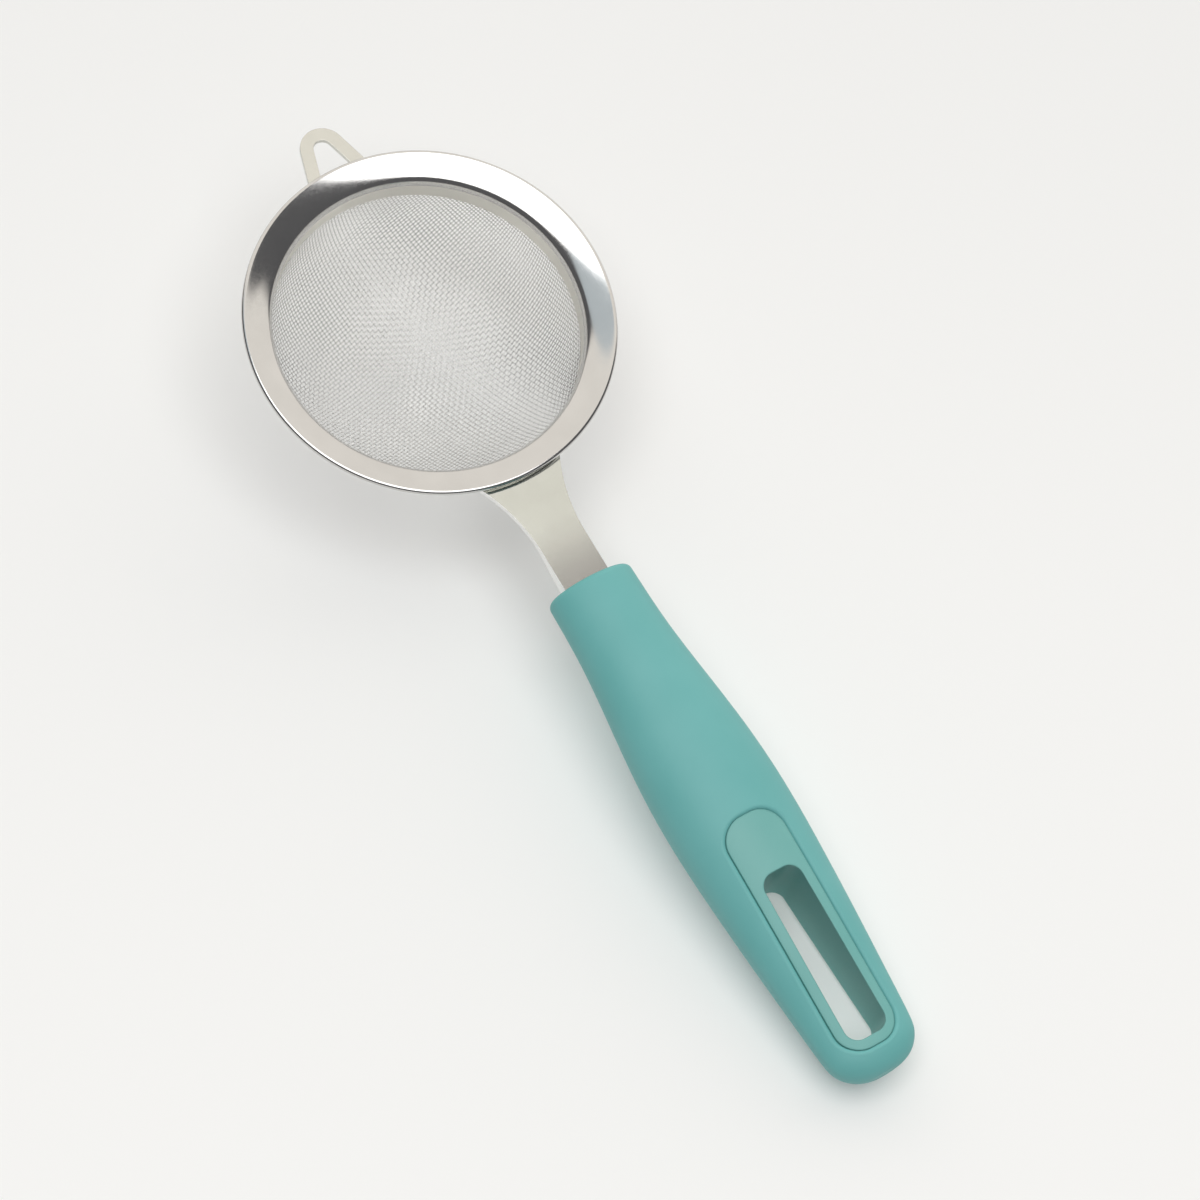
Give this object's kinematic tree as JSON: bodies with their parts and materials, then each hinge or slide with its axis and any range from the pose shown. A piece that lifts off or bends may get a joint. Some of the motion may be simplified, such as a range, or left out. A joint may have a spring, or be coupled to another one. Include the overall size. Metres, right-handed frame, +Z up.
{
  "type": "tea strainer",
  "caption": "Small handheld tea strainer: woven steel mesh bowl clamped to a dished rim, with a flat rest hook, a flared steel neck and a soft-skinned handle with a hanging slot.",
  "frame": {"origin": "on the table, straight under the centre of the rim, with the strainer lying bowl down", "axes": "+Z up from the table, +X along the handle seen from above, +Y to the left of the handle"},
  "size_m": [0.2333, 0.08, 0.0385],
  "materials": {
    "polished_steel": "mirror-polished stainless steel",
    "satin_steel": "satin stainless steel",
    "mesh_wire": "bright drawn stainless wire, plain weave",
    "brushed_strip": "satin rolled stainless strip",
    "brushed_neck": "satin stainless sheet with polished cut edges",
    "weld_metal": "dull weld metal",
    "core_plastic": "fine matt moulded plastic",
    "grip_rubber": "soft-touch elastomer, matt"
  },
  "bodies": {
    "root": {"rim_flange": "polished_steel", "clamp_ring": "satin_steel", "mesh_bowl": "mesh_wire", "rest_hook": "brushed_strip", "neck_tang": "brushed_neck", "spot_welds": "weld_metal", "handle_core": "core_plastic", "handle_grip": "grip_rubber"}
  },
  "joints": []
}
